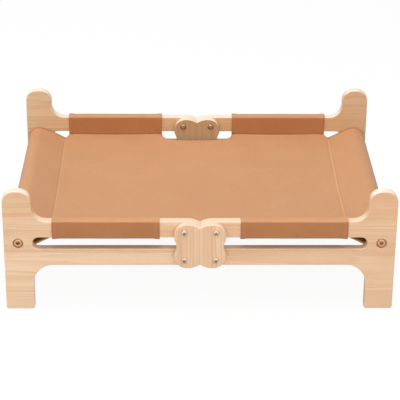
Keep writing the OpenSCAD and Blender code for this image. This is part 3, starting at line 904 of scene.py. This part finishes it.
def bedColumns():
    s, b = sling, bedCloth
    half = [s["sleeveStart"] * math.sin(math.pi / 2 * k / b["cutoutSteps"]) ** (2 / s["cutoutPower"])
            for k in range(1, b["cutoutSteps"] + 1)]
    span = s["sleeveEnd"] - s["sleeveStart"]
    half += [s["sleeveStart"] + span * (1 - math.cos(math.pi * k / b["sleeveSteps"])) / 2
             for k in range(1, b["sleeveSteps"] + 1)]
    half += [s["seamX"] - (s["seamX"] - s["sleeveEnd"]) * math.cos(math.pi / 2 * k / b["cornerSteps"])
             for k in range(1, b["cornerSteps"] + 1)]
    return [-x for x in reversed(half)] + [0.0] + half


def bedTension(x, v):
    s, b = sling, bedCloth
    inside = (1 - (x / s["seamX"]) ** 2) * (1 - min(1.0, abs(v) / s["bedY"]) ** 2)
    spot = Vector((x / b["waveX"], v / b["waveY"], b["waveSeed"]))
    rise = b["wave"] * noise.noise(spot) * min(1.0, b["waveEdge"] * inside)
    dx, dy = s["seamX"] - abs(x), s["bedY"] - abs(v)  # pull lines that fan out from each corner
    far = math.hypot(dx, dy)
    fan = math.sin(b["pullLines"] * math.atan2(dy + b["pullStart"], dx + b["pullStart"]))
    fan *= smoothStep(b["pullStart"], b["pullFull"], far) * math.exp(-far / b["pullReach"])
    return rise + b["pull"] * fan * smoothStep(0, b["pullEdge"], min(dx, dy))


def makeBed():
    s, b = sling, bedCloth
    xs = bedColumns()
    shares = [1 - d / s["bedY"] for d in b["rows"]]
    shares = [-f for f in shares] + [f for f in reversed(shares[:-1])]
    outer, inner = b["sleeveBlend"]
    points, hems = [], []
    for x in xs:
        edge = bedEdge(x)
        onSleeve = smoothStep(s["sleeveStart"] - outer, s["sleeveStart"] + inner, abs(x))
        onSleeve *= 1 - smoothStep(s["sleeveEnd"] - inner, s["sleeveEnd"] + outer, abs(x))
        for f in shares:
            v = f * edge
            inwards = edge - abs(v)
            near = onSleeve * max(0.0, 1 - inwards / b["fillet"]) ** 2  # turned up into the sleeve's seam
            z = bedZ(x, v) + s["thick"] / 2 + bedTension(x, v) + edgeRise(x, inwards) + b["lift"] * near
            points.append((x, v + math.copysign(b["tuck"] * near, v) + midY, z))
            hems.append((1 - onSleeve) * hemShare(b, inwards))
    rows = len(shares)
    faces = [(i * rows + j, (i + 1) * rows + j, (i + 1) * rows + j + 1, i * rows + j + 1)
             for i in range(len(xs) - 1) for j in range(rows - 1)]
    return clothPiece("sling_bed", points, faces, hems, 0.0)


# Sleeves: cloth folded round each upper rail and sewn to the bed below it

sleeveCloth = {
    "inY": 204.8, "outY": 220.2, "topZ": 150.2, "lowZ": 122.8, "endGap": 0.3,
    "sewnStart": (204.8, 116.1), "sewnEnd": (205.5, 116.6), "corner": 1.8, "cornerSteps": 6, "faceSteps": 6,
    "lengthSteps": 26, "hemShare": 0.8, "hemBlend": (1.0, 0.5),
    "crown": 0.25, "crownX": 38, "crownY": 9, "crownZ": 14, "crownSeed": 3,
}


def sleeveSection(rise):
    c = sleeveCloth
    (startY, startZ), (endY, endZ) = c["sewnStart"], c["sewnEnd"]
    corners = ((c["inY"], c["topZ"]), (c["outY"], c["topZ"]), (c["outY"], c["lowZ"]))
    path = [Vector(p) for p in ((startY, startZ + rise), *corners, (endY, endZ + rise))]
    points = [path[0]]
    for before, at, after in zip(path, path[1:], path[2:]):
        a, b = (before - at).normalized(), (after - at).normalized()
        half = a.angle(b) / 2
        start, end = at + a * c["corner"] / math.tan(half), at + b * c["corner"] / math.tan(half)
        centre = at + (a + b).normalized() * c["corner"] / math.sin(half)
        last = points[-1]
        points += [last.lerp(start, k / c["faceSteps"]) for k in range(1, c["faceSteps"])]
        turn = (start - centre).angle(end - centre)
        for k in range(c["cornerSteps"] + 1):
            t = k / c["cornerSteps"]
            arm = (start - centre) * math.sin((1 - t) * turn) + (end - centre) * math.sin(t * turn)
            points.append(centre + arm / math.sin(turn))
    last = points[-1]
    points += [last.lerp(path[-1], k / c["faceSteps"]) for k in range(1, c["faceSteps"] + 1)]
    return points


def makeSleeve(back, left):
    s, c = sling, sleeveCloth
    start, length = s["sleeveStart"] + c["endGap"], s["sleeveEnd"] - s["sleeveStart"] - 2 * c["endGap"]
    wayX, wayY = (-1 if left else 1), (1 if back else -1)
    rail = Vector(((c["inY"] + c["outY"]) / 2, (c["topZ"] + c["lowZ"]) / 2))
    points, hems = [], []
    for i in range(c["lengthSteps"] + 1):
        t = (1 - math.cos(math.pi * i / c["lengthSteps"])) / 2
        x = start + length * t
        hem = hemShare(c, length * min(t, 1 - t))
        section = sleeveSection(sewnRise(x))
        for p in section:
            spot = Vector((x * wayX / c["crownX"], p.x / c["crownY"],
                           p.y / c["crownZ"] + wayY * c["crownSeed"]))
            puff = c["crown"] * noise.noise(spot)
            out = (p - rail).normalized() * puff * (1 - hem)
            points.append((wayX * x, wayY * (p.x + max(0.0, out.x)) + midY, p.y + max(0.0, out.y)))
            hems.append(c["hemShare"] * hem)
    faces = stripFaces(c["lengthSteps"], len(section), wayX * wayY > 0)
    return clothPiece(f"{rowName(back)}_{wayName(left)}_rail_sleeve", points, faces, hems, 1.0)


# Pockets: cloth folded round each dowel, its two edges sewn to the end of the bed

pocketCloth = {
    "straightSteps": 12, "arcSteps": 30, "rows": 40, "rowEase": 0.35, "lipGap": 0.05, "bulge": 0.8,
    "wave": 0.35, "waveY": 46, "waveStep": 9, "waveSeed": 5, "hemShare": 0.5, "hemBlend": (1.5, 1.0),
}


def pocketLoop(v):
    s, c = sling, pocketCloth
    r = s["pocketR"] - s["thick"]
    tipX, tipZ = s["seamX"] - s["dowelX"], bedZ(s["seamX"], v) - s["dowelZ"]
    spread = math.acos(s["pocketR"] / math.hypot(tipX, tipZ))
    first = math.atan2(tipZ, tipX) - spread
    turn = 2 * math.pi - 2 * spread
    arc = []
    for k in range(c["arcSteps"] + 1):
        a = first - turn * k / c["arcSteps"]
        reach = r + c["bulge"] * max(0.0, math.cos(a)) ** 2  # a little slack on the outside
        arc.append(Vector((reach * math.cos(a), reach * math.sin(a))))
    top, low = Vector((tipX, tipZ + c["lipGap"])), Vector((tipX, tipZ - c["lipGap"]))
    n = c["straightSteps"]
    upper = [top.lerp(arc[0], k / n) for k in range(n)]
    lower = [arc[-1].lerp(low, k / n) for k in range(1, n + 1)]
    return upper + arc + lower


def pocketSide(dx):
    s = sling
    reach = s["dowelX"] - s["seamX"]
    t = min(1.0, (dx + reach) / (reach - s["pocketR"]))
    return tipY + (s["pocketEnd"] - tipY) * (t + t * t * (3 - 2 * t)) / 2


def makePocket(left):
    s, c = sling, pocketCloth
    wayX = -1 if left else 1
    points, hems = [], []
    for j in range(c["rows"] + 1):
        even = 2 * j / c["rows"] - 1
        f = math.sin(math.pi / 2 * even) * c["rowEase"] + even * (1 - c["rowEase"])
        loop = pocketLoop(f * tipY)
        for k, p in enumerate(loop):
            v = f * pocketSide(p.x)
            ease = math.sin(math.pi * k / c["straightSteps"]) if k < c["straightSteps"] else 0.0
            spot = Vector((wayX * c["waveSeed"], v / c["waveY"], k / c["waveStep"]))
            lift = c["wave"] * ease * noise.noise(spot)
            points.append((wayX * (s["dowelX"] + p.x), v + midY, s["dowelZ"] + p.y + lift))
            hems.append(c["hemShare"] * hemShare(c, pocketSide(p.x) - abs(v)))
    faces = stripFaces(c["rows"], len(loop), left)
    return clothPiece(wayName(left) + "_end_pocket", points, faces, hems, 1.0)


bed = makeBed()
sleeves = {(back, left): makeSleeve(back, left) for back in (False, True) for left in (True, False)}
pockets = {left: makePocket(left) for left in (True, False)}
print("sling made")


# Welt on each end seam

welt = {
    "wide": 3.6, "high": 0.42, "sunk": 0.2, "lean": 0.42, "steps": 10, "rows": 60,
    "endGap": 0.4, "taper": 2.2, "least": 0.02, "wobble": 0.08, "wobbleLong": 5,
}


def bedTop(x, v):
    inwards = bedEdge(x) - abs(v)
    hem = hemExtra(bedCloth, inwards)
    return bedZ(x, v) + sling["thick"] + hem + bedTension(x, v) + edgeRise(x, inwards)


def makeWelt(left):
    s, w = sling, welt
    wayX = -1 if left else 1
    half = tipY - w["endGap"]
    points = []
    for j in range(w["rows"] + 1):
        v = half * (2 * j / w["rows"] - 1)
        past = max(0.0, (abs(v) - half + w["taper"]) / w["taper"])
        taper = math.sqrt(max(0.0, 1 - past ** 2)) * (1 - w["least"]) + w["least"]
        for k in range(w["steps"] + 1):
            a = math.pi * k / w["steps"]
            wobble = 1 + w["wobble"] * noise.noise(Vector((v / w["wobbleLong"], a, wayX)))
            x = s["seamX"] + 0.5 * w["wide"] * math.cos(a) * taper
            z = bedTop(s["seamX"], v) - w["sunk"]
            z += (w["high"] + w["sunk"]) * math.sin(a) ** 2 * taper * wobble
            z += max(0.0, x - s["seamX"]) * w["lean"]  # the pocket rises away from the seam
            points.append((wayX * x, v + midY, z))
    n = w["steps"] + 1
    faces = []
    for j in range(w["rows"]):
        for k in range(n):
            m = (k + 1) % n
            faces.append((j * n + k, (j + 1) * n + k, (j + 1) * n + m, j * n + m)[::wayX])
    last = w["rows"] * n
    faces += [tuple(range(n))[::wayX], tuple(range(last, last + n))[::-wayX]]
    name = wayName(left) + "_seam_welt"
    mesh = meshFrom(name, points, faces)
    mesh.materials.append(weltFinish)
    return showPiece(name, mesh, "sling_cloth")


# Stitches: short threads that dip into the cloth at both ends

stitch = {
    "long": 3.3, "gap": 1.2, "thick": 0.27, "sides": 6, "lift": 0.08, "dip": 1.6, "ahead": 0.2,
    "shape": ((-0.5, 0.3), (-0.38, 0.85), (0.0, 1.0), (0.38, 0.85), (0.5, 0.3)),  # place and width along it
}
sewing = {
    "fromSeam": 4.8, "seamShare": 0.985, "seamSteps": 80, "proud": 1.05,
    "cutoutX": 56.0, "cutoutSteps": 60, "cutoutHem": 1.0,
    "sleeveZ": 120.2, "sleeveIn": 1.0, "sleeveSteps": 8, "sleeveGap": 2.5, "endHem": 1.3, "endSkip": 3,
}


def sewRow(points, faces, path, outs):
    t = stitch
    lengths = [0.0]
    for a, b in zip(path, path[1:]):
        lengths.append(lengths[-1] + (b - a).length)

    def along(d):
        for k in range(1, len(path)):
            if d <= lengths[k] or k == len(path) - 1:
                f = (d - lengths[k - 1]) / max(1e-9, lengths[k] - lengths[k - 1])
                return path[k - 1].lerp(path[k], f), outs[k - 1].lerp(outs[k], f).normalized()

    n = t["sides"]
    step = t["long"] + t["gap"]
    number = int((lengths[-1] - t["gap"]) // step)
    spare = (lengths[-1] - number * step + t["gap"]) / 2
    for i in range(number):
        start = len(points)
        for e, share in t["shape"]:
            d = spare + i * step + t["long"] * (0.5 + e)
            at, out = along(d)
            ahead = along(d + t["ahead"])[0] - at
            side = ahead.cross(out).normalized()
            sink = t["lift"] - t["dip"] * t["thick"] * (2 * abs(e)) ** 3
            wide = t["thick"] * share
            for k in range(n):
                a = 2 * math.pi * k / n
                points.append(at + out * (sink + wide * math.sin(a)) + side * wide * math.cos(a))
        last = start + (len(t["shape"]) - 1) * n
        for low in range(start, last, n):
            for k in range(n):
                m = (k + 1) % n
                faces.append((low + k, low + n + k, low + n + m, low + m))
        faces.append(tuple(range(start, start + n)))
        faces.append(tuple(reversed(range(last, last + n))))


def sewnPiece(name, rows):
    points, faces = [], []
    for path, outs in rows:
        sewRow(points, faces, path, outs)
    mesh = meshFrom(name, points, faces)
    mesh.materials.append(threadFinish)
    return showPiece(name, mesh, "sling_cloth")


def pocketTop(dx, v):
    s = sling
    loop = pocketLoop(v)
    a, b = loop[0], loop[pocketCloth["straightSteps"]]
    rise = a.y + (b.y - a.y) * dx / (b.x - a.x)
    hem = hemExtra(pocketCloth, pocketSide(a.x + dx) - abs(v))
    return s["dowelZ"] + rise + s["thick"] * sewing["proud"] + hem


def seamRows(left):
    s, w = sling, sewing
    wayX = -1 if left else 1
    rows = []
    for dx in (-w["fromSeam"], w["fromSeam"]):
        x = s["seamX"] + dx
        path = []
        for j in range(w["seamSteps"] + 1):
            v = w["seamShare"] * (2 * j / w["seamSteps"] - 1) * tipY
            z = bedTop(x, v) if dx < 0 else pocketTop(dx, v)
            path.append(Vector((wayX * x, v + midY, z)))
        rows.append((path, [Vector((0, 0, 1))] * len(path)))
    return rows


def cutoutRows(back):
    s, w = sling, sewing
    wayY = 1 if back else -1
    path = []
    for k in range(-w["cutoutSteps"], w["cutoutSteps"] + 1):
        x = w["cutoutX"] * k / w["cutoutSteps"]
        v = bedEdge(x) - s["hem"] + w["cutoutHem"]
        path.append(Vector((x, wayY * v + midY, bedTop(x, v))))
    return [(path, [Vector((0, 0, 1))] * len(path))]


def sleeveRows(back, left):
    s, c, w = sling, sleeveCloth, sewing
    wayX, wayY = (-1 if left else 1), (1 if back else -1)
    first, last = s["sleeveStart"] + w["sleeveGap"], s["sleeveEnd"] - w["sleeveGap"]
    y = wayY * (c["inY"] - w["sleeveIn"]) + midY
    path = [Vector((wayX * (first + (last - first) * k / w["sleeveSteps"]), y, w["sleeveZ"]))
            for k in range(w["sleeveSteps"] + 1)]
    rows = [(path, [Vector((0, -wayY, 0))] * len(path))]
    section = sleeveSection(s["sewnRise"])
    onHem = s["thick"] + hemExtra(c, 0.0)
    inEnd = s["hem"] - w["endHem"]
    for x in (s["sleeveStart"] + inEnd, s["sleeveEnd"] - inEnd):
        path, outs = [], []
        for k, p in enumerate(section):
            a, b = section[max(0, k - 1)], section[min(len(section) - 1, k + 1)]
            out = Vector((-(b - a).y, (b - a).x)).normalized()
            path.append(Vector((wayX * x, wayY * (p.x + out.x * onHem) + midY, p.y + out.y * onHem)))
            outs.append(Vector((0, wayY * out.x, out.y)))
        kept = slice(w["endSkip"], -w["endSkip"])
        rows.append((path[kept], outs[kept]))
    return rows


welts = {left: makeWelt(left) for left in (True, False)}
seamThreads = {left: sewnPiece(wayName(left) + "_seam_stitches", seamRows(left)) for left in (True, False)}
cutThreads = [sewnPiece(rowName(back) + "_cutout_stitches", cutoutRows(back)) for back in (False, True)]
sleeveThreads = {
    (back, left): sewnPiece(f"{rowName(back)}_{wayName(left)}_sleeve_stitches", sleeveRows(back, left))
    for back, left in sleeves}
print("stitches made")


# Floor, light and background

studio = {
    "floorSize": 9.0, "floorGrey": 0.62, "floorShown": 0.07, "floorGlow": 0.935,
    "floorZ": -0.0002, "sky": 0.41, "aim": (0, 0, 0.12),
    "keyPlace": (-0.15, -0.3, 2.2), "keySize": (2.2, 1.6), "keyPower": 31.0,
    "fillPlace": (0.1, -1.7, 0.7), "fillSize": (2.0, 0.9), "fillPower": 13.0,
    "sidePlace": (-2.4, 0.1, 1.1), "sideSize": (1.4, 1.2), "sidePower": 14.5,
}


def backgroundRays():
    path = making["tree"].nodes.new("ShaderNodeLightPath").outputs
    seen = calc("MAXIMUM", path["Is Camera Ray"], path["Is Glossy Ray"])
    return calc("MAXIMUM", seen, path["Is Transmission Ray"])


def makeFloor():
    s = studio
    half = s["floorSize"] / 2
    corners = [(x * half, y * half, s["floorZ"]) for x, y in ((-1, -1), (1, -1), (1, 1), (-1, 1))]
    mesh = bpy.data.meshes.new("floor")
    mesh.from_pydata(corners, [], [(0, 1, 2, 3)])
    floor = bpy.data.objects.new("floor", mesh)
    bpy.context.scene.collection.objects.link(floor)
    material = bpy.data.materials.new("paleFloor")
    material.use_nodes = True
    tree = making["tree"] = material.node_tree
    tree.nodes.clear()
    lit = put("BsdfDiffuse", None, {"Color": (s["floorGrey"],) * 3 + (1,)})
    shown = put("AddShader", None, {
        0: put("BsdfDiffuse", None, {"Color": (s["floorShown"],) * 3 + (1,)}),
        1: put("Emission", None, {"Color": (1, 1, 1, 1), "Strength": s["floorGlow"]})})
    mixed = put("MixShader", None, {0: backgroundRays(), 1: lit, 2: shown})
    fillSockets(tree.nodes.new("ShaderNodeOutputMaterial").inputs, {"Surface": mixed})
    mesh.materials.append(material)


def makeLight():
    s = studio
    world = bpy.data.worlds.new("studio")
    bpy.context.scene.world = world
    world.use_nodes = True
    making["tree"] = world.node_tree
    strength = timesPlus(backgroundRays(), 1 - s["sky"], s["sky"])
    fillSockets(world.node_tree.nodes["Background"].inputs, {"Color": (1, 1, 1, 1), "Strength": strength})
    for name in ("key", "fill", "side"):
        data = bpy.data.lights.new(name, "AREA")
        data.shape, data.energy = "RECTANGLE", s[name + "Power"]
        data.size, data.size_y = s[name + "Size"]
        lamp = bpy.data.objects.new(name, data)
        lamp.location = s[name + "Place"]
        lamp.rotation_euler = (Vector(s["aim"]) - lamp.location).to_track_quat("-Z", "Y").to_euler()
        bpy.context.scene.collection.objects.link(lamp)


makeFloor()
makeLight()
bpy.context.scene.view_settings.view_transform = "Standard"
print("studio made")
